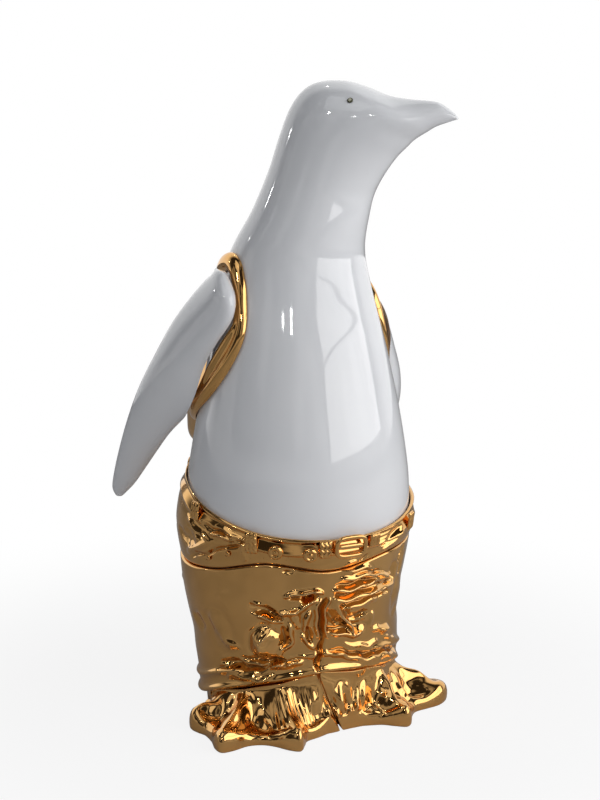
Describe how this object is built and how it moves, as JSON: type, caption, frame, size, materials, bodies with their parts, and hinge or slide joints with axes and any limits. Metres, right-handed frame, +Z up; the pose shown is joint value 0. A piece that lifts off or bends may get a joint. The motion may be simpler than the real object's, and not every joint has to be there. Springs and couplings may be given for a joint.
{
  "type": "penguin vase",
  "caption": "Standing glazed penguin in gilded low-slung trousers and webbed gilded feet, with a gilded rucksack on its back that is an open flower vessel.",
  "frame": {"origin": "point of the flat base between the legs, on the figure's vertical axis", "axes": "+Z up, -Y the way the trousers and feet face, +X the penguin's left"},
  "size_m": [0.2263, 0.2234, 0.4469],
  "materials": {
    "white_glaze": "clear glossy glaze over white clay",
    "gold_lustre": "mirror-bright gold lustre fired over the glaze",
    "eye_lustre": "dark lustre dot"
  },
  "bodies": {
    "root": {"body_shell": "white_glaze", "right_eye": "eye_lustre", "left_eye": "eye_lustre", "right_flipper": "white_glaze", "left_flipper": "white_glaze", "right_strap": "gold_lustre", "left_strap": "gold_lustre", "rucksack_vessel": "gold_lustre", "trousers_shell": "gold_lustre", "waistband": "gold_lustre", "belt_loops": "gold_lustre", "belt_buckle": "gold_lustre", "belt_studs": "gold_lustre", "pocket_rivets": "gold_lustre", "right_foot": "gold_lustre", "left_foot": "gold_lustre"}
  },
  "joints": []
}
